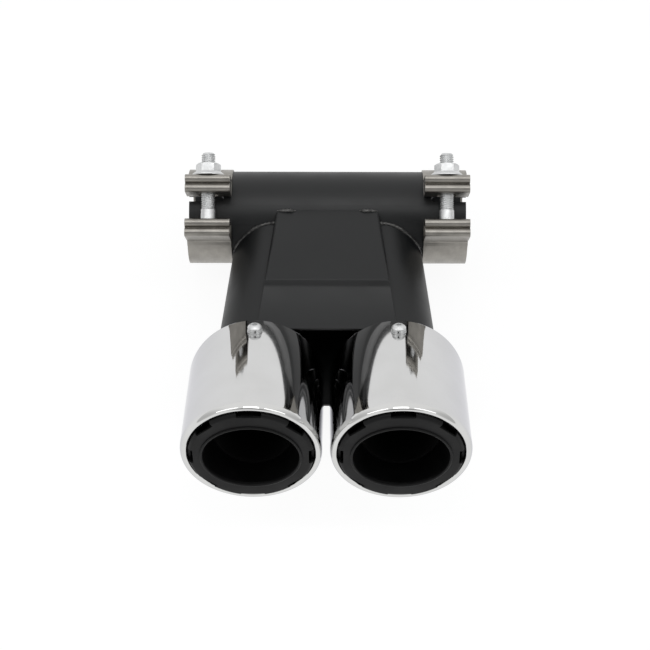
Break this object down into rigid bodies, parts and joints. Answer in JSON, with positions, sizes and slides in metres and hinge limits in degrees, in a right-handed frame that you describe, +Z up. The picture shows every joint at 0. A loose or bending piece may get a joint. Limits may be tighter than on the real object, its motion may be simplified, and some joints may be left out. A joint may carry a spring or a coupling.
{
  "type": "exhaust tip",
  "caption": "Exhaust tip: black cross pipe with band clamps on its ends, splayed branch pipes under a cover plate, and rising, slant-cut polished tips with notched black inserts.",
  "frame": {"origin": "on the ground under the middle of the part's bounding box", "axes": "+X along the cross pipe to the right-hand inlet, -Y out of the tips' mouths, +Z up"},
  "size_m": [0.195, 0.2582, 0.1373],
  "materials": {
    "black_paint": "satin black paint",
    "polished_steel": "mirror polished",
    "black_insert": "matt black",
    "clamp_steel": "satin",
    "zinc_plate": "bright zinc"
  },
  "bodies": {
    "root": {"cross_pipe": "black_paint", "upper_cover_plate": "black_paint", "lower_cover_plate": "black_paint", "left_branch_pipe": "black_paint", "right_branch_pipe": "black_paint", "left_tip_shell": "polished_steel", "right_tip_shell": "polished_steel", "left_tip_insert": "black_insert", "right_tip_insert": "black_insert", "left_carrier_ring": "black_paint", "right_carrier_ring": "black_paint", "left_weld_nut": "zinc_plate", "right_weld_nut": "zinc_plate", "left_flat_washer": "zinc_plate", "right_flat_washer": "zinc_plate", "left_lock_washer": "zinc_plate", "right_lock_washer": "zinc_plate", "left_tip_screw": "zinc_plate", "right_tip_screw": "zinc_plate", "left_clamp_band": "clamp_steel", "right_clamp_band": "clamp_steel", "left_clamp_bar": "clamp_steel", "right_clamp_bar": "clamp_steel", "left_clamp_bolt": "zinc_plate", "right_clamp_bolt": "zinc_plate", "left_clamp_nut": "zinc_plate", "right_clamp_nut": "zinc_plate"}
  },
  "joints": []
}
